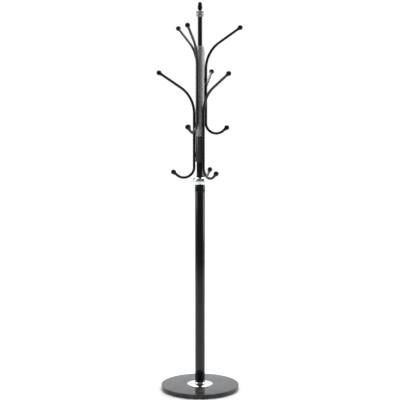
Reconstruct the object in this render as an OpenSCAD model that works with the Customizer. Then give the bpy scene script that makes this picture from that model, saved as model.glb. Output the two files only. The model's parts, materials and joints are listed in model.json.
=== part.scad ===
// Tree coat rack: a round stone base, a tall pole and a head of six bent hook rods.
// Each rod has a long arm at the top and a J hook at the bottom, and both end in a ball.
// Three rods form the lower tier and three the same rods again, one tier step higher.
// Origin: centre of the footprint, on the floor. +Z is up, +X is the first upper hook.
// All sizes are in millimetres.

/* [Base] */
// Diameter of the stone disc
base_d = 354; // [280:2:450]
// Thickness of the stone disc
base_t = 18; // [15:1:40]
// Radius of the rounded top edge of the stone
base_round = 3; // [1:0.5:6]
// Bevel round the bottom edge of the stone
base_bevel = 1; // [0.5:0.5:3]
// Depth of the counterbore under the stone
counterbore_depth = 10; // [9:0.5:12]
// Number of rubber feet
foot_count = 6; // [3:1:8]
// Diameter of one rubber foot
foot_d = 22; // [15:1:30]
// Height of one rubber foot
foot_t = 3; // [2:0.5:6]
// Stone left between the edge and the nearest side of a foot
foot_inset = 18; // [8:1:40]

/* [Base bolt] */
// Diameter of the base bolt
bolt_d = 10; // [8:1:12]
// Width of the bolt head across its flats
bolt_head_af = 17; // [13:1:19]
// Height of the bolt head
bolt_head_t = 6.4; // [5:0.2:7.6]
// Diameter of the washer
washer_d = 34; // [28:1:40]
// Thickness of the washer
washer_t = 2.4; // [1.6:0.2:3]
// Length of thread that the bolt has in the pole's foot plug
bolt_engagement = 24; // [15:1:30]

/* [Floor flange] */
// Diameter of the chrome flange
flange_d = 117; // [90:1:160]
// Height of the flange's dome
flange_h = 10; // [7:0.5:20]
// Height of the flange's upright rim
flange_rim = 2; // [1:0.5:4]
// Sheet thickness of the flange
flange_wall = 1.2; // [0.8:0.1:2]
// Height of the neck where the flange meets the pole
flange_neck = 2.5; // [1:0.5:6]

/* [Pole] */
// Outer diameter of the pole
pole_d = 45; // [34:1:60]
// Wall of the pole
pole_wall = 2; // [1.2:0.1:3]
// Length of the pole
pole_len = 886; // [600:1:1200]
// Height of the tapped plug in each end of the pole
pole_plug_h = 30; // [25:1:60]

/* [Ferrule and bulb] */
// How far the ferrule stands proud of the pole all round
ferrule_lip = 0.8; // [0.4:0.1:3]
// Length of the ferrule
ferrule_len = 31; // [20:1:60]
// Wall of the ferrule, which is also the thickness of its floor
ferrule_wall = 4; // [3:0.5:6]
// Diameter of the chrome bulb
bulb_d = 71; // [60:1:90]
// Radius of the bulb's lower half
bulb_low_r = 22; // [16:1:26]
// Radius of the bulb's upper half
bulb_top_r = 15; // [10:1:18]
// Diameter of the threaded stud
stud_d = 12; // [8:1:14]
// Length of stud in each of the two tapped plugs
stud_engagement = 24; // [15:1:28]

/* [Head] */
// Diameter of the neck that stands on the bulb
neck_d = 31; // [22:1:36]
// Length of the neck that can be seen
neck_len = 68; // [50:1:90]
// Length of the neck that is inside the head tube
neck_insert = 40; // [20:1:60]
// Outer diameter of the head tubes
head_tube_d = 40; // [32:1:48]
// Wall of the head tubes
head_tube_wall = 1.5; // [1:0.1:2]
// Length of the lower head tube
lower_tube_len = 115; // [90:1:150]
// Length of the upper head tube
upper_tube_len = 378; // [300:1:460]
// Length of the sleeve that joins the two head tubes
sleeve_len = 50; // [30:1:60]
// Wall of the sleeve
sleeve_wall = 3; // [2:0.5:5]
// Height of the reducer's dome
reducer_h = 22; // [14:1:60]
// Depth of the reducer's spigot in the head tube
reducer_spigot = 20; // [12:1:30]
// Diameter of the top post
post_d = 21; // [14:1:25]
// Wall of the top post
post_wall = 1.5; // [1:0.1:2]
// Length of the top post that can be seen
post_len = 127; // [60:1:200]
// Depth of the post's socket in the reducer
post_socket = 24; // [12:1:40]
// Diameter of the collar under the finial
finial_collar_d = 34; // [24:1:36]
// Height of the collar under the finial
finial_collar_h = 27; // [10:1:30]
// Radius of that collar's rounded edges
finial_collar_round = 5; // [1:0.5:6]
// Diameter of the finial, where it is widest
finial_d = 22; // [18:1:30]
// Radius of the finial's rounded top
finial_tip_r = 8.5; // [4:0.5:9]
// Height of the finial
finial_h = 38; // [36:1:60]
// Diameter of the finial's pin
finial_pin_d = 6; // [4:0.5:8]
// Length of the finial's pin
finial_pin_len = 16; // [8:1:30]

/* [Hook rods] */
// Diameter of a hook rod
rod_d = 12; // [8:0.5:14.5]
// Diameter of the balls
ball_d = 23; // [18:0.5:28]
// Gap between the head tube and each rod
rod_gap = 0.5; // [0.3:0.1:3]
// How much thinner the rod is, in radius, where it is bent
bend_thinning = 0.15; // [0.1:0.05:0.3]
// Height of the lowest hooks' centreline above the bulb's top
hook_height = -5; // [-10:1:30]
// Bend radius of the J hooks
hook_bend_r = 46; // [36:1:60]
// Angle that a J hook turns past its lowest point
hook_past_bottom = 41; // [20:1:60]
// Length of the straight tip of a J hook
hook_tip = 22; // [15:1:40]
// Length of the upright stretch of a rod
rod_upright = 240; // [200:1:300]
// Bend radius of the arms
arm_bend_r = 140; // [100:1:180]
// Angle between an arm's straight tip and the vertical
arm_angle = 56; // [40:1:75]
// Length of the straight tip of an arm
arm_tip = 117; // [60:1:160]
// Step in height from the lower tier to the upper tier
tier_step = 200; // [165:1:240]

/* [Welds] */
// Length of a weld along the rod
weld_len = 20; // [8:1:40]
// How far a weld stays inside the rod's width, on each side
weld_inset = 1.5; // [1:0.1:2.5]
// Height of a rod's lower weld above the start of its J hook
weld_low = 45; // [35:1:80]
// Height of a rod's upper weld above the start of its J hook
weld_high = 180; // [120:1:190]

/* [Fits] */
// Radial clearance of a plug, spigot or rod in its socket, and of a weld on its pieces
fit = 0.05; // [0.02:0.01:0.1]
// Radial clearance of a piece that slides on
slide_fit = 0.25; // [0.15:0.05:0.5]
// Radial clearance of a bolt or stud that passes through a piece
bolt_gap = 1; // [0.5:0.1:1.5]

/* [Hidden] */
// Direction of the rod's hook, turn from there to its arm, height above its tier, tier
RODS = [
    [67.8, 6.5, 0, 0],
    [187.4, 6.5, 3, 0],
    [306.6, 6.5, 4, 0],
    [0, 16.5, 0, 1],
    [116, 7, -5, 1],
    [243, 12, 11, 1]
];
ROD_HOOK_AZ = 0;
ROD_ARM_TURN = 1;
ROD_LIFT = 2;
ROD_TIER = 3;

rod_count = len(RODS);
cut = 1;
$fn = 72;

// Heights, from the floor up
stone_z = foot_t;
stone_top = stone_z + base_t;
pole_top = stone_top + pole_len;
ferrule_top = pole_top + ferrule_len;
bulb_h = bulb_low_r + bulb_top_r;
bulb_top = ferrule_top + bulb_h;
lower_tube_z = bulb_top + neck_len;
upper_tube_z = lower_tube_z + lower_tube_len;
reducer_z = upper_tube_z + upper_tube_len;
post_z = reducer_z + reducer_h;
post_top = post_z + post_len;
finial_z = post_top + finial_collar_h;

// Heights of the two tiers, at the start of the J hook's bend
function tier_z(tier) = bulb_top + hook_height + hook_bend_r + tier * tier_step;

// Radii
pole_bore_r = pole_d / 2 - pole_wall;
ferrule_r = pole_d / 2 + ferrule_lip;
tube_bore_r = head_tube_d / 2 - head_tube_wall;
post_bore_r = post_d / 2 - post_wall;
rod_circle_r = head_tube_d / 2 + rod_gap + rod_d / 2;
foot_circle_r = base_d / 2 - foot_inset - foot_d / 2;
bolt_hole_r = bolt_d / 2 + bolt_gap;
stud_hole_r = stud_d / 2 + bolt_gap;
counterbore_r = washer_d / 2 + 5;
rod_socket = ball_d / 2 + 2;
rod_socket_gap = 0.3;
bend_lap = 1.5;

// The bolt's head hangs under the washer, inside the counterbore
washer_z = stone_z + counterbore_depth - washer_t;
bolt_shank = stone_top + bolt_engagement - washer_z;

// The stud's ends are in the pole's head plug and in the neck
stud_z = pole_top - stud_engagement;
stud_len = bulb_top + stud_engagement - stud_z;

black = [0.05, 0.05, 0.055];
chrome = [0.82, 0.83, 0.85];
steel = [0.6, 0.61, 0.63];
stone = [0.3, 0.3, 0.31];
rubber = [0.12, 0.12, 0.12];

// Points along an arc in the plane, from angle a to angle b
function arc(centre, r, a, b, steps = 16) = [
    for (i = [0:steps]) let (t = a + (b - a) * i / steps) centre + r * [cos(t), sin(t)]
];

// A tube that stands on z = 0
module tube(r, bore_r, h) {
    difference() {
        cylinder(r = r, h = h);
        translate([0, 0, -cut]) cylinder(r = bore_r, h = h + 2 * cut);
    }
}

// A low dome of the given radius and height, above an upright rim
module dome(r, h, rim) {
    rise = h - rim;
    sphere_r = (r * r + rise * rise) / (2 * rise);
    intersection() {
        cylinder(r = r, h = h);
        translate([0, 0, h - sphere_r]) sphere(r = sphere_r, $fn = 180);
    }
}

module stone_base() {
    r = base_d / 2;
    color(stone)
    translate([0, 0, stone_z])
    difference() {
        rotate_extrude($fn = 180)
            polygon(concat(
                [[0, 0], [r - base_bevel, 0], [r, base_bevel]],
                arc([r - base_round, base_t - base_round], base_round, 0, 90, 6),
                [[0, base_t]]
            ));
        translate([0, 0, -cut]) cylinder(r = bolt_hole_r, h = base_t + 2 * cut);
        translate([0, 0, -cut]) cylinder(r = counterbore_r, h = counterbore_depth + cut);
    }
}

module foot_pads() {
    color(rubber)
    for (i = [0:foot_count - 1])
        rotate([0, 0, i * 360 / foot_count])
            translate([foot_circle_r, 0, 0])
                cylinder(d = foot_d, h = foot_t);
}

module base_bolt() {
    color(steel)
    translate([0, 0, washer_z]) {
        translate([0, 0, -bolt_head_t])
            cylinder(r = bolt_head_af / sqrt(3), h = bolt_head_t, $fn = 6);
        cylinder(d = bolt_d, h = bolt_shank);
    }
}

module base_washer() {
    color(steel)
    translate([0, 0, washer_z])
        tube(washer_d / 2, bolt_d / 2 + slide_fit, washer_t);
}

module floor_flange() {
    neck_r = pole_d / 2 + slide_fit + flange_wall;
    color(chrome)
    translate([0, 0, stone_top])
    difference() {
        union() {
            dome(flange_d / 2, flange_h, flange_rim);
            cylinder(r = neck_r, h = flange_h + flange_neck);
        }
        difference() {
            translate([0, 0, -cut])
                dome(flange_d / 2 - flange_wall, flange_h - flange_wall + cut, flange_rim + cut);
            cylinder(r = neck_r, h = flange_h);
        }
        translate([0, 0, -cut])
            cylinder(r = pole_d / 2 + slide_fit, h = flange_h + flange_neck + 2 * cut);
    }
}

module lower_pole() {
    color(black)
    translate([0, 0, stone_top])
        tube(pole_d / 2, pole_bore_r, pole_len);
}

module pole_foot_plug() {
    color(steel)
    translate([0, 0, stone_top])
        tube(pole_bore_r - fit, bolt_d / 2 + fit, pole_plug_h);
}

module pole_head_plug() {
    color(steel)
    translate([0, 0, pole_top - pole_plug_h])
        tube(pole_bore_r - fit, stud_d / 2 + fit, pole_plug_h);
}

module pole_ferrule() {
    color(black)
    translate([0, 0, pole_top])
    difference() {
        cylinder(r = ferrule_r, h = ferrule_len);
        translate([0, 0, ferrule_wall])
            cylinder(r = ferrule_r - ferrule_wall, h = ferrule_len - 2 * ferrule_wall);
        translate([0, 0, -cut]) cylinder(r = stud_hole_r, h = ferrule_len + 2 * cut);
    }
}

module joint_bulb() {
    r = bulb_d / 2;
    color(chrome)
    translate([0, 0, ferrule_top])
        rotate_extrude($fn = 120)
            polygon(concat(
                [[stud_hole_r, 0]],
                arc([r - bulb_low_r, bulb_low_r], bulb_low_r, -90, 0),
                arc([r - bulb_top_r, bulb_low_r], bulb_top_r, 0, 90),
                [[stud_hole_r, bulb_h]]
            ));
}

module joint_stud() {
    color(steel)
    translate([0, 0, stud_z])
        cylinder(d = stud_d, h = stud_len);
}

// The neck is solid but for the stud's tapped hole, and its upper end is turned up
// to the bore of the head tube, whose end rests on the neck's shoulder ring
module head_neck() {
    color(black)
    translate([0, 0, bulb_top])
    difference() {
        union() {
            cylinder(d = neck_d, h = neck_len);
            translate([0, 0, neck_len]) cylinder(r = tube_bore_r - fit, h = neck_insert);
        }
        translate([0, 0, -cut]) cylinder(r = stud_d / 2 + fit, h = stud_engagement + 2 * cut);
    }
}

module lower_head_tube() {
    color(black)
    translate([0, 0, lower_tube_z])
        tube(head_tube_d / 2, tube_bore_r, lower_tube_len);
}

module upper_head_tube() {
    color(chrome)
    translate([0, 0, upper_tube_z])
        tube(head_tube_d / 2, tube_bore_r, upper_tube_len);
}

module tube_sleeve() {
    r = tube_bore_r - fit;
    color(steel)
    translate([0, 0, upper_tube_z - sleeve_len / 2])
        tube(r, r - sleeve_wall, sleeve_len);
}

// A dome that narrows from the head tube to the post's socket
module top_reducer() {
    low_r = head_tube_d / 2;
    top_r = post_d / 2 + 2.5;
    step = low_r - top_r;
    bend_r = (step * step + reducer_h * reducer_h) / (2 * step);
    bend_a = asin(reducer_h / bend_r);
    color(chrome)
    translate([0, 0, reducer_z])
    difference() {
        union() {
            rotate_extrude()
                polygon(concat([[0, 0]], arc([low_r - bend_r, 0], bend_r, 0, bend_a), [[0, reducer_h]]));
            translate([0, 0, -reducer_spigot]) cylinder(r = tube_bore_r - fit, h = reducer_spigot);
        }
        translate([0, 0, reducer_h - post_socket])
            cylinder(r = post_d / 2 + fit, h = post_socket + cut);
    }
}

module top_post() {
    color(black)
    translate([0, 0, post_z - post_socket])
        tube(post_d / 2, post_bore_r, post_socket + post_len);
}

// A turned collar with a spigot in the post and a drilled hole for the finial's pin
module finial_collar() {
    r = finial_collar_d / 2;
    round_r = min(finial_collar_round, finial_collar_h / 2);
    color(chrome)
    translate([0, 0, post_top])
    difference() {
        union() {
            rotate_extrude()
                polygon(concat(
                    [[0, 0]],
                    arc([r - round_r, round_r], round_r, -90, 0, 8),
                    arc([r - round_r, finial_collar_h - round_r], round_r, 0, 90, 8),
                    [[0, finial_collar_h]]
                ));
            translate([0, 0, -finial_pin_len]) cylinder(r = post_bore_r - fit, h = finial_pin_len);
        }
        translate([0, 0, finial_collar_h - finial_pin_len])
            cylinder(r = finial_pin_d / 2 + fit, h = finial_pin_len + cut);
    }
}

// A ball that runs up into a slightly slimmer rounded top
module finial() {
    r = finial_d / 2;
    lean = asin((r - finial_tip_r) / (finial_h - r - finial_tip_r));
    color(black)
    translate([0, 0, finial_z]) {
        rotate_extrude()
            polygon(concat(
                [[0, 0]],
                arc([0, r], r, -70, lean),
                arc([0, finial_h - finial_tip_r], finial_tip_r, lean, 90)
            ));
        translate([0, 0, -finial_pin_len + rod_socket_gap])
            cylinder(d = finial_pin_d, h = finial_pin_len);
    }
}

// Places children with the rod's own axis at the origin and its hook along +X
module at_rod(rod) {
    rotate([0, 0, rod[ROD_HOOK_AZ]])
        translate([rod_circle_r, 0, tier_z(rod[ROD_TIER]) + rod[ROD_LIFT]])
            children();
}

// A bend that starts at the origin going up and turns towards +X.
// It is slightly thinner than the straights, and laps a little way into both.
module rod_bend(bend_r, angle) {
    lap = asin(bend_lap / bend_r);
    translate([bend_r, 0, 0])
        rotate([90, 0, 0])
            rotate([0, 0, 180 - angle - lap])
                rotate_extrude(angle = angle + 2 * lap)
                    translate([bend_r, 0]) circle(r = rod_d / 2 - bend_thinning);
}

// Places children at the start of the hook's straight tip, which then runs along +Z
module at_hook_tip() {
    turn = 90 + hook_past_bottom;
    translate([hook_bend_r * (1 - cos(turn)), 0, -hook_bend_r * sin(turn)])
        rotate([0, 180 - turn, 0])
            children();
}

// Places children at the start of the arm's straight tip, which then runs along +Z
module at_arm_tip(rod) {
    translate([0, 0, rod_upright])
        rotate([0, 0, rod[ROD_ARM_TURN]])
            translate([arm_bend_r * (1 - cos(arm_angle)), 0, arm_bend_r * sin(arm_angle)])
                rotate([0, arm_angle, 0])
                    children();
}

module hook_rod(i) {
    rod = RODS[i];
    into_ball = rod_socket - ball_d / 2;
    color(black)
    at_rod(rod) {
        cylinder(d = rod_d, h = rod_upright);
        mirror([0, 0, 1]) rod_bend(hook_bend_r, 90 + hook_past_bottom);
        at_hook_tip() cylinder(d = rod_d, h = hook_tip + into_ball);
        translate([0, 0, rod_upright])
            rotate([0, 0, rod[ROD_ARM_TURN]])
                rod_bend(arm_bend_r, arm_angle);
        at_arm_tip(rod) cylinder(d = rod_d, h = arm_tip + into_ball);
    }
}

// A ball on a rod's tip, drilled for the rod
module ball_on_tip(tip) {
    translate([0, 0, tip])
    difference() {
        sphere(d = ball_d);
        translate([0, 0, -ball_d])
            cylinder(r = rod_d / 2 + fit, h = ball_d / 2 + rod_socket + rod_socket_gap);
    }
}

module arm_ball(i) {
    color(black) at_rod(RODS[i]) at_arm_tip(RODS[i]) ball_on_tip(arm_tip);
}

module hook_ball(i) {
    color(black) at_rod(RODS[i]) at_hook_tip() ball_on_tip(hook_tip);
}

// The two welds that join a rod to the head tube. Each fills the hollow between them.
module rod_welds(i) {
    width = rod_d - 2 * weld_inset;
    color(black)
    for (height = [weld_low, weld_high])
        at_rod(RODS[i])
            translate([0, 0, height])
                difference() {
                    translate([-rod_circle_r, -width / 2, 0]) cube([rod_circle_r, width, weld_len]);
                    translate([-rod_circle_r, 0, -cut])
                        cylinder(r = head_tube_d / 2 + fit, h = weld_len + 2 * cut, $fn = 240);
                    translate([0, 0, -cut]) cylinder(r = rod_d / 2 + fit, h = weld_len + 2 * cut, $fn = 180);
                }
}

stone_base();
foot_pads();
base_bolt();
base_washer();
floor_flange();
lower_pole();
pole_foot_plug();
pole_head_plug();
pole_ferrule();
joint_bulb();
joint_stud();
head_neck();
lower_head_tube();
upper_head_tube();
tube_sleeve();
top_reducer();
top_post();
finial_collar();
finial();
for (i = [1:rod_count]) hook_rod(i - 1);
for (i = [1:rod_count]) rod_welds(i - 1);
for (i = [1:rod_count]) arm_ball(i - 1);
for (i = [1:rod_count]) hook_ball(i - 1);
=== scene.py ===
"""The looks of a tree coat rack: a polished granite base, a gloss black pole with chrome
fittings, and a head of six bent black rods that end in black balls. Sizes are in metres."""

import json
import math

import bmesh
import bpy
from mathutils import Matrix, Vector


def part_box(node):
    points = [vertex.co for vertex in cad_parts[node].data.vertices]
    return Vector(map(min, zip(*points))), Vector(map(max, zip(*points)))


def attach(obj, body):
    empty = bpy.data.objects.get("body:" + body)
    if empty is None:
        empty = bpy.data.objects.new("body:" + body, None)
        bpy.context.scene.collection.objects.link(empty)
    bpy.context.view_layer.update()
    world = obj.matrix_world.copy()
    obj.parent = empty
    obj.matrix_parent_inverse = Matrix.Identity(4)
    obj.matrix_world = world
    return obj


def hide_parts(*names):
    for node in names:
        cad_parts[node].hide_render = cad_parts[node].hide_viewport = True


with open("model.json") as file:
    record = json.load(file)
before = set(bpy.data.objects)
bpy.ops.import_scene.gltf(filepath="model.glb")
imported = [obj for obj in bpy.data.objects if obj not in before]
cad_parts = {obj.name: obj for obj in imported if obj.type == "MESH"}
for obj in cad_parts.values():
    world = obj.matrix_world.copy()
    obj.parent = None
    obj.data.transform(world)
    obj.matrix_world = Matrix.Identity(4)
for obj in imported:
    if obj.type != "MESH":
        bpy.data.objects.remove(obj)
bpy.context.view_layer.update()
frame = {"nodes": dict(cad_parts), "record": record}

SEGMENTS = 160
TWO_PI = 2 * math.pi


# ---------------------------------------------------------------- node helpers

def new_material(name, base, metallic, roughness):
    """A Principled material with its plain values set on the shader's own sockets."""
    mat = bpy.data.materials.new(name)
    mat.use_nodes = True
    shader = mat.node_tree.nodes["Principled BSDF"]
    shader.inputs["Base Color"].default_value = (*base, 1.0)
    shader.inputs["Metallic"].default_value = metallic
    shader.inputs["Roughness"].default_value = roughness
    return mat, shader


def add_node(mat, kind, **values):
    """A node whose inputs are set by name, and whose other settings are set as attributes."""
    node = mat.node_tree.nodes.new(kind)
    for key, value in values.items():
        if key in node.inputs:
            node.inputs[key].default_value = value
        else:
            setattr(node, key, value)
    return node


def join(mat, out_socket, in_socket):
    mat.node_tree.links.new(out_socket, in_socket)


def object_space(mat, scale=(1.0, 1.0, 1.0)):
    """Texture coordinates in the row frame, stretched by scale."""
    coords = add_node(mat, "ShaderNodeTexCoord")
    mapping = add_node(mat, "ShaderNodeMapping")
    mapping.inputs["Scale"].default_value = scale
    join(mat, coords.outputs["Object"], mapping.inputs["Vector"])
    return mapping.outputs["Vector"]


def noise(mat, vector, scale, detail=4.0, rough=0.55):
    node = add_node(mat, "ShaderNodeTexNoise", Scale=scale, Detail=detail, Roughness=rough)
    join(mat, vector, node.inputs["Vector"])
    return node.outputs["Fac"]


def spread(mat, value, low, high, from_low=0.3, from_high=0.7):
    """value, taken from one range to another."""
    node = add_node(mat, "ShaderNodeMapRange")
    node.inputs["From Min"].default_value = from_low
    node.inputs["From Max"].default_value = from_high
    node.inputs["To Min"].default_value = low
    node.inputs["To Max"].default_value = high
    join(mat, value, node.inputs["Value"])
    return node.outputs["Result"]


def ramp(mat, value, *stops):
    """A colour ramp with (position, colour) stops."""
    node = add_node(mat, "ShaderNodeValToRGB")
    elements = node.color_ramp.elements
    while len(elements) < len(stops):
        elements.new(0.5)
    for element, (position, colour) in zip(elements, stops):
        element.position = position
        element.color = (*colour, 1.0)
    join(mat, value, node.inputs["Fac"])
    return node.outputs["Color"]


def mix_colour(mat, factor, a, b):
    node = add_node(mat, "ShaderNodeMix", data_type="RGBA")
    sockets = {"Factor": node.inputs[0], "A": node.inputs[6], "B": node.inputs[7]}
    for key, value in (("Factor", factor), ("A", a), ("B", b)):
        if isinstance(value, bpy.types.NodeSocket):
            join(mat, value, sockets[key])
        else:
            sockets[key].default_value = value
    return node.outputs[2]


def bump(mat, shader, *layers):
    """Stacks (height socket, strength, distance) layers and feeds the shader's normal."""
    last = None
    for height, strength, distance in layers:
        node = add_node(mat, "ShaderNodeBump", Strength=strength, Distance=distance)
        join(mat, height, node.inputs["Height"])
        if last is not None:
            join(mat, last, node.inputs["Normal"])
        last = node.outputs["Normal"]
    join(mat, last, shader.inputs["Normal"])


# ---------------------------------------------------------------- materials

def granite():
    """Polished near-black granite with paler clouds, fine grey grains and a few flecks."""
    mat, shader = new_material("polished_granite", (0.03, 0.03, 0.03), 0.0, 0.1)
    shader.inputs["IOR"].default_value = 1.4
    space = object_space(mat)
    cloud = noise(mat, space, 30.0, 6.0, 0.62)
    body = ramp(mat, cloud, (0.44, (0.001, 0.001, 0.0012)), (0.64, (0.1, 0.1, 0.101)))
    grains = add_node(mat, "ShaderNodeTexVoronoi", Scale=560.0)
    join(mat, space, grains.inputs["Vector"])
    grain_grey = ramp(
        mat, grains.outputs["Color"],
        (0.0, (0.004, 0.004, 0.0045)), (0.5, (0.012, 0.012, 0.013)),
        (0.78, (0.05, 0.05, 0.052)), (0.95, (0.17, 0.17, 0.17)),
    )
    flecks = add_node(mat, "ShaderNodeTexVoronoi", Scale=230.0)
    join(mat, space, flecks.inputs["Vector"])
    fleck_spots = ramp(mat, flecks.outputs["Distance"], (0.12, (1, 1, 1)), (0.2, (0, 0, 0)))
    grained = mix_colour(mat, 0.55, body, grain_grey)
    colour = mix_colour(mat, fleck_spots, grained, (0.2, 0.2, 0.195, 1.0))
    join(mat, colour, shader.inputs["Base Color"])
    polished = spread(mat, grains.outputs["Distance"], 0.05, 0.13, 0.0, 0.8)
    join(mat, polished, shader.inputs["Roughness"])
    polish = noise(mat, space, 60.0, 3.0)
    pits = noise(mat, space, 900.0, 2.0)
    bump(mat, shader, (polish, 0.04, 0.0006), (pits, 0.05, 0.00008))
    return mat


def enamel(name, tint, wear):
    """Gloss enamel with a faint orange peel, a little dust and finger-worn patches."""
    mat, shader = new_material(name, tint, 0.0, 0.16)
    shader.inputs["Specular IOR Level"].default_value = 0.4
    shader.inputs["Coat Weight"].default_value = 0.15
    shader.inputs["Coat Roughness"].default_value = 0.05
    space = object_space(mat)
    patches = noise(mat, space, 14.0, 5.0, 0.6)
    dust = noise(mat, space, 700.0, 3.0, 0.7)
    dust_spots = ramp(mat, dust, (0.66, (0, 0, 0)), (0.78, (1, 1, 1)))
    dusty = tuple(0.02 + value for value in tint)
    colour = mix_colour(mat, dust_spots, (*tint, 1.0), (*dusty, 1.0))
    join(mat, colour, shader.inputs["Base Color"])
    join(mat, spread(mat, patches, 0.12, 0.12 + wear), shader.inputs["Roughness"])
    peel = noise(mat, space, 420.0, 2.0)
    bump(mat, shader, (peel, 0.05, 0.00015), (patches, 0.03, 0.0008))
    return mat


def bright_chrome():
    """Bright plated chrome with faint polishing lines round the axis and light smudges."""
    mat, shader = new_material("bright_chrome", (0.86, 0.87, 0.885), 1.0, 0.06)
    smudges = noise(mat, object_space(mat), 22.0, 5.0, 0.65)
    lines = noise(mat, object_space(mat, (1.0, 1.0, 60.0)), 45.0, 3.0)
    tone = ramp(mat, smudges, (0.3, (0.8, 0.81, 0.825)), (0.7, (0.88, 0.89, 0.9)))
    join(mat, tone, shader.inputs["Base Color"])
    join(mat, spread(mat, smudges, 0.13, 0.22), shader.inputs["Roughness"])
    bump(mat, shader, (lines, 0.02, 0.0001))
    return mat


def satin_metal():
    """Satin steel under a half-matt lacquer, brushed round the tube, with soft tone changes."""
    mat, shader = new_material("satin_steel", (0.4, 0.4, 0.41), 0.5, 0.5)
    brush = noise(mat, object_space(mat, (6.0, 6.0, 900.0)), 9.0, 4.0, 0.7)
    cloud = noise(mat, object_space(mat), 16.0, 4.0)
    tone = ramp(mat, cloud, (0.3, (0.36, 0.36, 0.37)), (0.7, (0.44, 0.44, 0.45)))
    streaked = mix_colour(mat, spread(mat, brush, 0.0, 0.3), tone, (0.26, 0.26, 0.27, 1.0))
    join(mat, streaked, shader.inputs["Base Color"])
    join(mat, spread(mat, brush, 0.42, 0.58), shader.inputs["Roughness"])
    bump(mat, shader, (brush, 0.12, 0.0001))
    return mat


def ball_gloss():
    """Gloss black moulded balls with a faint haze and tiny scuffs."""
    mat, shader = new_material("ball_gloss", (0.005, 0.005, 0.0055), 0.0, 0.14)
    shader.inputs["Specular IOR Level"].default_value = 0.25
    space = object_space(mat)
    haze = noise(mat, space, 60.0, 4.0)
    scuffs = noise(mat, object_space(mat, (1.0, 1.0, 5.0)), 500.0, 3.0, 0.7)
    tone = ramp(mat, haze, (0.3, (0.0025, 0.0025, 0.0028)), (0.75, (0.006, 0.006, 0.0063)))
    join(mat, tone, shader.inputs["Base Color"])
    join(mat, spread(mat, haze, 0.09, 0.2), shader.inputs["Roughness"])
    bump(mat, shader, (scuffs, 0.04, 0.0001))
    return mat


def foot_rubber():
    """Dull black rubber with a fine grain and a faint bloom."""
    mat, shader = new_material("foot_rubber", (0.03, 0.03, 0.03), 0.0, 0.8)
    space = object_space(mat)
    grain = noise(mat, space, 900.0, 3.0)
    bloom = noise(mat, space, 120.0)
    tone = ramp(mat, bloom, (0.3, (0.022, 0.022, 0.022)), (0.7, (0.045, 0.045, 0.043)))
    join(mat, tone, shader.inputs["Base Color"])
    join(mat, spread(mat, grain, 0.7, 0.9), shader.inputs["Roughness"])
    bump(mat, shader, (grain, 0.3, 0.0002))
    return mat


def zinc_plate():
    """Dull zinc plating with cloudy patches."""
    mat, shader = new_material("zinc_plate", (0.6, 0.61, 0.63), 1.0, 0.34)
    space = object_space(mat)
    cloud = noise(mat, space, 90.0, 4.0)
    tone = ramp(mat, cloud, (0.3, (0.48, 0.49, 0.5)), (0.7, (0.66, 0.66, 0.64)))
    join(mat, tone, shader.inputs["Base Color"])
    join(mat, spread(mat, cloud, 0.26, 0.42), shader.inputs["Roughness"])
    bump(mat, shader, (noise(mat, space, 700.0), 0.08, 0.0002))
    return mat


MATERIALS = {
    "stone": granite(),
    "rubber": foot_rubber(),
    "steel": zinc_plate(),
    "chrome": bright_chrome(),
    "satin_steel": satin_metal(),
    "black_enamel": enamel("pole_enamel", (0.006, 0.006, 0.0064), 0.1),
    "head_enamel": enamel("head_enamel", (0.05, 0.05, 0.052), 0.12),
    "rod_enamel": enamel("rod_enamel", (0.005, 0.005, 0.0053), 0.14),
    "black_gloss": ball_gloss(),
}
SLOTS = {part["node"]: part["material_slot"] for part in frame["record"]["subparts"]}

for node_name, node in frame["nodes"].items():
    node.data.materials.clear()
    node.data.materials.append(MATERIALS[SLOTS[node_name]])


# ---------------------------------------------------------------- mesh helpers

SHARP_ANGLE = math.radians(38)


def piece(name, mesh, *nodes):
    """Turns a mesh into a finished piece that stands for the named CAD nodes."""
    obj = bpy.data.objects.new(name, mesh)
    bpy.context.scene.collection.objects.link(obj)
    for face in mesh.polygons:
        face.use_smooth = True
    mesh.set_sharp_from_angle(angle=SHARP_ANGLE)
    mesh.materials.append(MATERIALS[SLOTS[nodes[0]]])
    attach(obj, "root")
    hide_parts(*nodes)
    return obj


def rounded(points, steps=5):
    """A closed or open profile of (r, z, fillet radius) corners, with each corner filleted."""
    out = []
    count = len(points)
    for index, (r, z, fillet) in enumerate(points):
        corner = Vector((r, z))
        before = Vector(points[index - 1][:2]) - corner
        after = Vector(points[(index + 1) % count][:2]) - corner
        if fillet <= 0 or before.length < 1e-9 or after.length < 1e-9:
            out.append((r, z))
            continue
        turn = before.angle(after)
        reach = min(fillet / math.tan(turn / 2), before.length / 2, after.length / 2)
        start = corner + before.normalized() * reach
        end = corner + after.normalized() * reach
        for step in range(steps + 1):
            t = step / steps
            out.append(tuple(start.lerp(corner, t).lerp(corner.lerp(end, t), t)))
    return out


def arc(centre, radius, start, end, steps=12):
    """(r, z) points along an arc, with its angles in degrees."""
    angles = [math.radians(start + (end - start) * i / steps) for i in range(steps + 1)]
    return [(centre[0] + radius * math.cos(a), centre[1] + radius * math.sin(a)) for a in angles]


def around(count):
    """Angles of count equal steps round a circle."""
    return [TWO_PI * k / count for k in range(count)]


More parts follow.
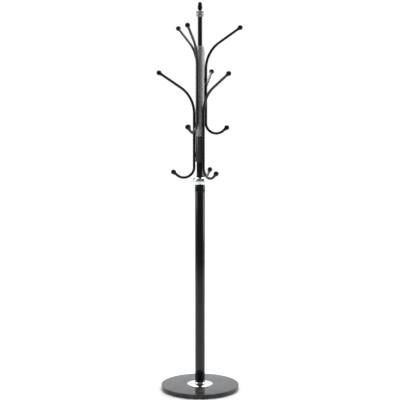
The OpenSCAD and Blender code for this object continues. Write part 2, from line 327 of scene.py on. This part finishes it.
def lathe(bm, profile, place=None, segments=SEGMENTS):
    """Revolves a closed (r, z) profile round its Z axis, and moves it with the place matrix."""
    place = place or Matrix.Identity(4)
    turns = around(segments)
    rings = []
    for r, z in profile:
        if r < 1e-7:
            rings.append([bm.verts.new(place @ Vector((0, 0, z)))])
            continue
        ring = [Vector((r * math.cos(a), r * math.sin(a), z)) for a in turns]
        rings.append([bm.verts.new(place @ point) for point in ring])
    for low, high in zip(rings, rings[1:] + rings[:1]):
        if len(low) == 1 and len(high) == 1:
            continue
        for k in range(segments):
            n = (k + 1) % segments
            if len(low) == 1:
                bm.faces.new((low[0], high[n], high[k]))
            elif len(high) == 1:
                bm.faces.new((low[k], low[n], high[0]))
            else:
                bm.faces.new((low[k], low[n], high[n], high[k]))


def to_mesh(bm, name):
    """Closes a bmesh into a mesh whose faces all look outward."""
    bmesh.ops.remove_doubles(bm, verts=bm.verts, dist=1e-8)
    bmesh.ops.recalc_face_normals(bm, faces=bm.faces)
    mesh = bpy.data.meshes.new(name)
    bm.to_mesh(mesh)
    bm.free()
    return mesh


def turned(name, profile, *nodes, segments=SEGMENTS):
    """One turned piece from a closed (r, z) profile."""
    bm = bmesh.new()
    lathe(bm, profile, segments=segments)
    return piece(name, to_mesh(bm, name), *nodes)


def outer(node_name):
    """Outer radius, bottom and top of a round CAD node that is centred on the pole."""
    lo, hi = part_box(node_name)
    return (hi.x - lo.x) / 2, lo.z, hi.z


def tube_profile(radius, bore, bottom, top, edge):
    """A tube's wall, with all four edges rounded."""
    corners = [(radius, bottom), (radius, top), (bore, top), (bore, bottom)]
    return rounded([(r, z, edge) for r, z in corners], 3)


def aim(centre, direction):
    """A matrix that puts local +Z along direction, at centre."""
    turn = Vector(direction).normalized().to_track_quat("Z", "Y").to_matrix().to_4x4()
    return Matrix.Translation(centre) @ turn


# ---------------------------------------------------------------- base

def stone_disc():
    """The granite disc: rounded top edge, small bottom chamfer, bolt hole and counterbore."""
    radius, bottom, top = outer("stone_base")
    washer_radius, _, washer_top = outer("base_washer")
    hole = 0.006
    recess = washer_radius + 0.005
    profile = rounded([
        (hole, washer_top, 0.0), (recess, washer_top, 0.0008), (recess, bottom, 0.0008),
        (radius, bottom, 0.0012), (radius, top, 0.003), (hole, top, 0.0005),
    ], 8)
    turned("granite_disc", profile, "stone_base", segments=256)


def rubber_feet():
    """Moulded feet with a rounded rim and a shallow ring in the sole."""
    lo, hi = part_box("foot_pads")
    thickness = hi.z - lo.z
    radius = 0.011
    circle = hi.x - radius
    count = 6
    profile = rounded([
        (0.0, 0.0, 0), (0.004, 0.0, 0.0003), (0.0046, 0.0006, 0.0003),
        (0.0062, 0.0006, 0.0003), (0.0068, 0.0, 0.0003), (radius, 0.0, 0.0008),
        (radius, thickness, 0.0004), (0.0, thickness, 0),
    ], 4)
    bm = bmesh.new()
    for angle in around(count):
        spot = Matrix.Translation((circle * math.cos(angle), circle * math.sin(angle), lo.z))
        lathe(bm, profile, spot, segments=48)
    piece("rubber_feet", to_mesh(bm, "rubber_feet"), "foot_pads")


def bolt_and_washer():
    """The hex bolt with a chamfered head, and its washer."""
    lo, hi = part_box("base_bolt")
    _, head_top, _ = outer("base_washer")
    across_flats = 0.017
    corner = across_flats / math.sqrt(3)
    shank = 0.005
    tip_chamfer = 0.001
    washer_bore = 0.00525
    bm = bmesh.new()
    chamfer = 0.0009
    rings = []
    for r, z in [(corner - chamfer, lo.z), (corner, lo.z + chamfer), (corner, head_top)]:
        rings.append([bm.verts.new((r * math.cos(a), r * math.sin(a), z)) for a in around(6)])
    for low, high in zip(rings, rings[1:]):
        for k in range(6):
            n = (k + 1) % 6
            bm.faces.new((low[k], low[n], high[n], high[k]))
    bm.faces.new(list(reversed(rings[0])))
    bm.faces.new(rings[-1])
    shank_profile = [
        (0.0, head_top), (shank, head_top), (shank, hi.z - tip_chamfer),
        (shank - tip_chamfer, hi.z), (0.0, hi.z),
    ]
    lathe(bm, shank_profile, segments=48)
    piece("base_hex_bolt", to_mesh(bm, "base_hex_bolt"), "base_bolt")
    radius, bottom, top = outer("base_washer")
    washer = tube_profile(radius, washer_bore, bottom, top, 0.0004)
    turned("base_flat_washer", washer, "base_washer", segments=64)


def chrome_flange():
    """A spun dome: rolled rim on the stone, shallow crown, and a neck that hugs the pole."""
    radius, bottom, top = outer("floor_flange")
    pole_radius, _, _ = outer("lower_pole")
    sheet = 0.0012
    gap = 0.00025
    rim = 0.002
    neck_height = 0.0025
    neck_root = 0.001
    neck_radius = pole_radius + gap + sheet
    crown = top - neck_height - neck_root
    rise = crown - bottom - rim
    reach = radius - neck_radius
    bend = (reach * reach + rise * rise) / (2 * rise)
    half_turn = math.degrees(math.asin(reach / bend))
    dome = arc((neck_radius, crown - bend), bend, 90 - half_turn, 90, 28)
    under = [(r, z - sheet) for r, z in reversed(dome)]
    under[-1] = (radius - sheet, under[-1][1])
    lip = [(radius - 0.0004, bottom), (radius, bottom + 0.0006)]
    collar = rounded([
        (neck_radius, crown, 0), (neck_radius, top, 0.0007), (pole_radius + gap, top, 0.0004),
    ], 4)
    inner = [(pole_radius + gap, crown - sheet)]
    profile = lip + dome + collar[1:] + inner + under[1:] + [(radius - sheet, bottom)]
    turned("chrome_flange", profile, "floor_flange", segments=200)


# ---------------------------------------------------------------- pole and joint

POLE_WALL = 0.002
TUBE_WALL = 0.0015
SPIGOT_STEP = 0.0016


def pole():
    radius, bottom, top = outer("lower_pole")
    turned("pole_tube", tube_profile(radius, radius - POLE_WALL, bottom, top, 0.0005), "lower_pole")


def ferrule():
    """A black ferrule, slightly crowned, with a turned groove near each end."""
    radius, bottom, top = outer("pole_ferrule")
    bore = 0.007
    groove = 0.0006
    width = 0.0012
    inset = 0.0035
    low, high = bottom + inset, top - inset
    profile = rounded([
        (bore, bottom, 0.0003), (radius - 0.0003, bottom, 0.0009), (radius - 0.0002, low, 0.0002),
        (radius - groove, low + width / 2, 0.0002), (radius - 0.0001, low + width, 0.0002),
        (radius, (low + high) / 2, 0.004),
        (radius - 0.0001, high - width, 0.0002), (radius - groove, high - width / 2, 0.0002),
        (radius - 0.0002, high, 0.0002), (radius - 0.0003, top, 0.0009), (bore, top, 0.0003),
    ], 4)
    turned("black_ferrule", profile, "pole_ferrule")


def bulb():
    """The chrome bulb: a full round underside and a tighter round top."""
    radius, bottom, top = outer("joint_bulb")
    low_round = 0.022
    top_round = top - bottom - low_round
    waist = bottom + low_round
    bore = 0.007
    profile = [(bore, bottom)]
    profile += arc((radius - low_round, waist), low_round, -90, 0, 28)
    profile += arc((radius - top_round, waist), top_round, 0, 90, 24)[1:]
    profile += [(bore, top)]
    turned("chrome_bulb", profile, "joint_bulb", segments=200)


def neck():
    """The neck: a small foot ring on the bulb, a plain shank and a shoulder under the tube."""
    _, bottom, top = outer("head_neck")
    radius = 0.0155
    tube_radius, tube_bottom, _ = outer("lower_head_tube")
    bore = tube_radius - SPIGOT_STEP
    foot = radius + 0.0016
    profile = rounded([
        (0.0, bottom, 0), (foot, bottom, 0.0006), (foot, bottom + 0.003, 0.001),
        (radius, bottom + 0.0045, 0.001), (radius, tube_bottom, 0.0004),
        (bore, tube_bottom + 0.0003, 0), (bore, top, 0.0006), (0.0, top, 0),
    ], 5)
    turned("neck_shank", profile, "head_neck")


def head_tubes():
    names = {"head_tube_black": "lower_head_tube", "head_tube_steel": "upper_head_tube"}
    for name, node_name in names.items():
        radius, bottom, top = outer(node_name)
        turned(name, tube_profile(radius, radius - TUBE_WALL, bottom, top, 0.0005), node_name)


def reducer():
    """A short shoulder that curves in from the head tube to the post, with a turned rim."""
    _, spigot_bottom, top = outer("top_reducer")
    radius, _, bottom = outer("upper_head_tube")
    post_radius, post_bottom, _ = outer("top_post")
    mouth = post_radius + 0.0025
    step = radius - mouth
    height = top - bottom
    bend = (step * step + height * height) / (2 * step)
    turn = math.degrees(math.asin(height / bend))
    shoulder = arc((radius - bend, bottom), bend, 0, turn, 30)
    spigot = radius - SPIGOT_STEP
    lip = rounded([
        (mouth + 0.0006, top - 0.003, 0), (mouth, top, 0.0008), (post_radius, top, 0.0003),
    ], 4)
    profile = [(0.0, spigot_bottom), (spigot, spigot_bottom), (spigot, bottom)]
    profile += shoulder[:-1] + lip[1:]
    profile += [(post_radius + 0.00005, post_bottom), (0.0, post_bottom)]
    turned("top_shoulder", profile, "top_reducer")


def post():
    radius, bottom, top = outer("top_post")
    wall = tube_profile(radius, radius - TUBE_WALL, bottom, top, 0.0004)
    turned("post_tube", wall, "top_post", segments=96)


def post_collar():
    """A turned barrel under the finial, with a fine groove near each end."""
    radius, pin_bottom, top = outer("finial_collar")
    post_radius, _, bottom = outer("top_post")
    spigot = post_radius - SPIGOT_STEP
    edge = 0.005
    groove = 0.0005
    width = 0.0011
    low, high = bottom + edge + width, top - edge - width
    profile = [(0.0, pin_bottom), (spigot, pin_bottom), (spigot, bottom)]
    profile += arc((radius - edge, bottom + edge), edge, -90, 0, 12)
    for middle in (low, high):
        profile += [(radius, middle - width / 2), (radius - groove, middle)]
        profile += [(radius, middle + width / 2)]
    profile += arc((radius - edge, top - edge), edge, 0, 90, 12)
    profile += [(0.0, top)]
    turned("post_barrel_collar", profile, "finial_collar", segments=96)


def finial():
    """A bullet knob on a small foot, a little slimmer towards its rounded top."""
    radius, _, tip = outer("finial")
    _, _, bottom = outer("finial_collar")
    tip_round = 0.0085
    height = tip - bottom
    lean = math.degrees(math.asin((radius - tip_round) / (height - radius - tip_round)))
    foot = [(0.0, bottom), (0.0062, bottom), (0.0066, bottom + 0.0006), (0.006, bottom + 0.0015)]
    body = arc((0.0, bottom + radius), radius, -52, lean, 26)
    point = arc((0.0, tip - tip_round), tip_round, lean, 90, 16)
    turned("bullet_finial", foot + body + point, "finial", segments=96)


# ---------------------------------------------------------------- hook rods and balls

ROD_RADIUS = 0.006
ROD_GAP = 0.0005
HOOK_BEND = 0.046
HOOK_PAST_BOTTOM = math.radians(41)
HOOK_TIP = 0.022
ARM_BEND = 0.140
ARM_ANGLE = math.radians(56)
ARM_TIP = 0.117
ROD_COUNT = 6
BALL_SOCKET = 0.002
WELD_LENGTH = 0.020


def centre_of(node_name):
    lo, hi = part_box(node_name)
    return (lo + hi) / 2


def flat_direction(vector):
    return Vector((vector.x, vector.y, 0)).normalized()


def rod_route(index):
    """The rod's centreline, from the hook's ball to the arm's ball, and the two tip directions."""
    hook_ball = centre_of(f"hook_ball_{index}")
    arm_ball = centre_of(f"arm_ball_{index}")
    up = Vector((0, 0, 1))
    out = flat_direction(hook_ball)
    tube_radius, _, _ = outer("lower_head_tube")
    foot = out * (tube_radius + ROD_GAP + ROD_RADIUS)
    drop = HOOK_BEND * math.cos(HOOK_PAST_BOTTOM) - HOOK_TIP * math.sin(HOOK_PAST_BOTTOM)
    foot.z = hook_ball.z + drop
    arm_out = flat_direction(arm_ball - foot)
    arm_rise = ARM_BEND * math.sin(ARM_ANGLE) + ARM_TIP * math.cos(ARM_ANGLE)
    bend_z = arm_ball.z - arm_rise
    hook_steps = 40
    hook_turn = math.pi / 2 + HOOK_PAST_BOTTOM
    hook_dir = out * math.cos(HOOK_PAST_BOTTOM) + up * math.sin(HOOK_PAST_BOTTOM)
    points = [hook_ball + hook_dir * BALL_SOCKET]
    for step in range(hook_steps, -1, -1):
        t = hook_turn * step / hook_steps
        points.append(foot + out * HOOK_BEND * (1 - math.cos(t)) - up * HOOK_BEND * math.sin(t))
    straight_steps = 12
    for step in range(1, straight_steps):
        points.append(Vector((foot.x, foot.y, foot.z + (bend_z - foot.z) * step / straight_steps)))
    arm_steps = 28
    for step in range(arm_steps + 1):
        t = ARM_ANGLE * step / arm_steps
        shift = arm_out * ARM_BEND * (1 - math.cos(t))
        points.append(Vector((foot.x, foot.y, bend_z)) + shift + up * ARM_BEND * math.sin(t))
    arm_dir = arm_out * math.sin(ARM_ANGLE) + up * math.cos(ARM_ANGLE)
    points.append(arm_ball + arm_dir * BALL_SOCKET)
    return points, hook_dir, arm_dir


def sweep(bm, points, radius, sides=32):
    """A round bar along points, with no twist, closed at both ends."""
    tangents = []
    for index in range(len(points)):
        before = points[max(index - 1, 0)]
        after = points[min(index + 1, len(points) - 1)]
        tangents.append((after - before).normalized())
    side = tangents[0].orthogonal().normalized()
    turns = around(sides)
    rings = []
    for index, (point, tangent) in enumerate(zip(points, tangents)):
        if index:
            side = tangents[index - 1].rotation_difference(tangent) @ side
        other = tangent.cross(side)
        ring = [side * math.cos(a) + other * math.sin(a) for a in turns]
        rings.append([bm.verts.new(point + radius * offset) for offset in ring])
    for low, high in zip(rings, rings[1:]):
        for k in range(sides):
            n = (k + 1) % sides
            bm.faces.new((low[k], low[n], high[n], high[k]))
    bm.faces.new(list(reversed(rings[0])))
    bm.faces.new(rings[-1])


def ball_profile(ball_radius):
    """A ball on a short skirt that grips the rod, bored to just past its centre."""
    skirt_size = 0.0016
    skirt_radius = ROD_RADIUS + skirt_size
    skirt_bottom = -ball_radius - skirt_size
    join_angle = -math.degrees(math.acos(skirt_radius / ball_radius))
    skirt_top = ball_radius * math.sin(math.radians(join_angle))
    skirt = rounded([
        (ROD_RADIUS, skirt_bottom, 0.0002), (skirt_radius - 0.0002, skirt_bottom, 0.0007),
        (skirt_radius, skirt_top, 0.0003),
    ], 4)
    skirt = [point for point in skirt if point[1] < skirt_top]
    ball = arc((0.0, 0.0), ball_radius, join_angle, 90, 32)
    return skirt + ball + [(0.0, BALL_SOCKET), (ROD_RADIUS, BALL_SOCKET)]


def rods_and_balls():
    lo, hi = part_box("arm_ball_1")
    ball = ball_profile((hi.z - lo.z) / 2)
    for index in range(1, ROD_COUNT + 1):
        route, hook_dir, arm_dir = rod_route(index)
        bm = bmesh.new()
        sweep(bm, route, ROD_RADIUS)
        name = f"bent_rod_{index}"
        piece(name, to_mesh(bm, name), f"hook_rod_{index}")
        for end, direction in (("hook", hook_dir), ("arm", arm_dir)):
            node_name = f"{end}_ball_{index}"
            bm = bmesh.new()
            lathe(bm, ball, aim(centre_of(node_name), direction), segments=72)
            name = f"{end}_knob_{index}"
            piece(name, to_mesh(bm, name), node_name)


def bead(bm, place, side, tube_radius, length):
    """One fillet bead along +Z, in the hollow on one side of the rod, with a rippled face."""
    rod_axis = tube_radius + ROD_GAP + ROD_RADIUS
    reach = ROD_RADIUS - 0.0015
    taper = 0.0025
    sunk = 0.0002
    hollow = 0.0008
    ripple_pitch = 0.0018
    ripple = 0.00022
    steps = 66
    across = 7
    rings = []
    for step in range(steps + 1):
        along = length * step / steps
        from_end = min(along, length - along)
        full = math.sqrt(min(1.0, from_end / taper))
        valley = 1 - abs(math.sin(math.pi * along / ripple_pitch))
        wide = reach * (0.45 + 0.55 * full) - ripple * valley
        on_tube = Vector((math.sqrt(tube_radius ** 2 - wide ** 2) - sunk, wide))
        on_rod = Vector((rod_axis - math.sqrt(ROD_RADIUS ** 2 - wide ** 2) + sunk, wide))
        ring = [Vector((tube_radius + ROD_GAP / 2, hollow))]
        for k in range(across + 1):
            t = k / across
            point = on_tube.lerp(on_rod, t)
            point.y -= hollow * math.sin(math.pi * t)
            ring.append(point)
        rings.append([bm.verts.new(place @ Vector((q.x, side * q.y, along))) for q in ring])
    for low, high in zip(rings, rings[1:]):
        for k in range(len(low)):
            n = (k + 1) % len(low)
            bm.faces.new((low[k], low[n], high[n], high[k]))
    bm.faces.new(rings[0])
    bm.faces.new(rings[-1])


def welds():
    """The beads that join each rod to the head tube, low and high on its upright."""
    tube_radius, _, _ = outer("lower_head_tube")
    for index in range(1, ROD_COUNT + 1):
        node_name = f"rod_welds_{index}"
        lo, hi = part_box(node_name)
        out = flat_direction(centre_of(f"hook_ball_{index}"))
        turn = Matrix.Rotation(math.atan2(out.y, out.x), 4, "Z")
        bm = bmesh.new()
        for bottom in (lo.z, hi.z - WELD_LENGTH):
            for side in (-1, 1):
                bead(bm, Matrix.Translation((0, 0, bottom)) @ turn, side, tube_radius, WELD_LENGTH)
        name = f"weld_beads_{index}"
        piece(name, to_mesh(bm, name), node_name)


stone_disc()
rubber_feet()
bolt_and_washer()
chrome_flange()
pole()
ferrule()
bulb()
neck()
head_tubes()
reducer()
post()
post_collar()
finial()
rods_and_balls()
welds()


# ---------------------------------------------------------------- floor, light and camera

FLOOR_RADIUS = 3.4


def studio_floor():
    """A plain pale disc of floor, small enough to stay evenly lit up to its edge."""
    bm = bmesh.new()
    bmesh.ops.create_circle(bm, cap_ends=True, segments=96, radius=FLOOR_RADIUS)
    mesh = bpy.data.meshes.new("studio_floor")
    bm.to_mesh(mesh)
    bm.free()
    for face in mesh.polygons:
        face.use_smooth = True
    mat, shader = new_material("studio_floor", (0.72, 0.72, 0.71), 0.0, 0.6)
    cloud = noise(mat, object_space(mat), 3.0)
    tone = ramp(mat, cloud, (0.3, (0.7, 0.7, 0.69)), (0.7, (0.74, 0.74, 0.73)))
    join(mat, tone, shader.inputs["Base Color"])
    mesh.materials.append(mat)
    floor = bpy.data.objects.new("studio_floor", mesh)
    bpy.context.scene.collection.objects.link(floor)


def area_light(name, place, target, size, power):
    light = bpy.data.lights.new(name, "AREA")
    light.shape = "RECTANGLE"
    light.size, light.size_y = size
    light.energy = power
    obj = bpy.data.objects.new(name, light)
    obj.location = place
    obj.rotation_euler = (Vector(target) - Vector(place)).to_track_quat("-Z", "Y").to_euler()
    bpy.context.scene.collection.objects.link(obj)


def studio_light():
    """Soft light from both sides, above and behind, with a dim room behind the viewer.
    The room is seen as plain white, and only lights and reflects with its fade."""
    middle = (0.0, 0.0, 0.9)
    area_light("left_softbox", (-3.8, -0.6, 2.4), middle, (2.8, 3.6), 75)
    area_light("right_softbox", (3.8, 0.2, 2.0), middle, (2.8, 3.6), 95)
    area_light("top_softbox", (0.0, 1.9, 4.6), (0.0, 0.2, 0.0), (4.0, 2.6), 150)
    area_light("backdrop_light", (0.0, 1.6, 4.7), (0.0, 4.2, 1.4), (6.0, 1.6), 150)
    world = bpy.data.worlds.new("soft_room")
    world.use_nodes = True
    tree = world.node_tree
    sky = tree.nodes["Background"]
    coords = tree.nodes.new("ShaderNodeTexCoord")
    parts = tree.nodes.new("ShaderNodeSeparateXYZ")
    fade = tree.nodes.new("ShaderNodeMapRange")
    fade.inputs["From Min"].default_value = -0.1
    fade.inputs["From Max"].default_value = 0.7
    fade.inputs["To Min"].default_value = 0.15
    fade.inputs["To Max"].default_value = 1.15
    seen = tree.nodes.new("ShaderNodeLightPath")
    plain = tree.nodes.new("ShaderNodeMix")
    plain.data_type = "FLOAT"
    plain.inputs["B"].default_value = 1.1
    tree.links.new(coords.outputs["Generated"], parts.inputs["Vector"])
    tree.links.new(parts.outputs["Y"], fade.inputs["Value"])
    tree.links.new(seen.outputs["Is Camera Ray"], plain.inputs["Factor"])
    tree.links.new(fade.outputs["Result"], plain.inputs["A"])
    tree.links.new(plain.outputs["Result"], sky.inputs["Strength"])
    sky.inputs["Color"].default_value = (0.94, 0.95, 0.97, 1.0)
    bpy.context.scene.world = world


def photo_camera():
    """The viewing place: in front, a little above the rack's middle, looking slightly down."""
    distance = 5.78
    height = 1.666
    look_down = math.radians(7.84)
    camera = bpy.data.cameras.new("camera")
    camera.sensor_width = 36.0
    camera.lens = 117.0
    camera.clip_end = 60.0
    obj = bpy.data.objects.new("camera", camera)
    obj.location = (0.0, -distance, height)
    obj.rotation_euler = (math.pi / 2 - look_down, 0.0, 0.0)
    bpy.context.scene.collection.objects.link(obj)
    bpy.context.scene.camera = obj


studio_floor()
studio_light()
photo_camera()
bpy.context.scene.view_settings.view_transform = "Standard"
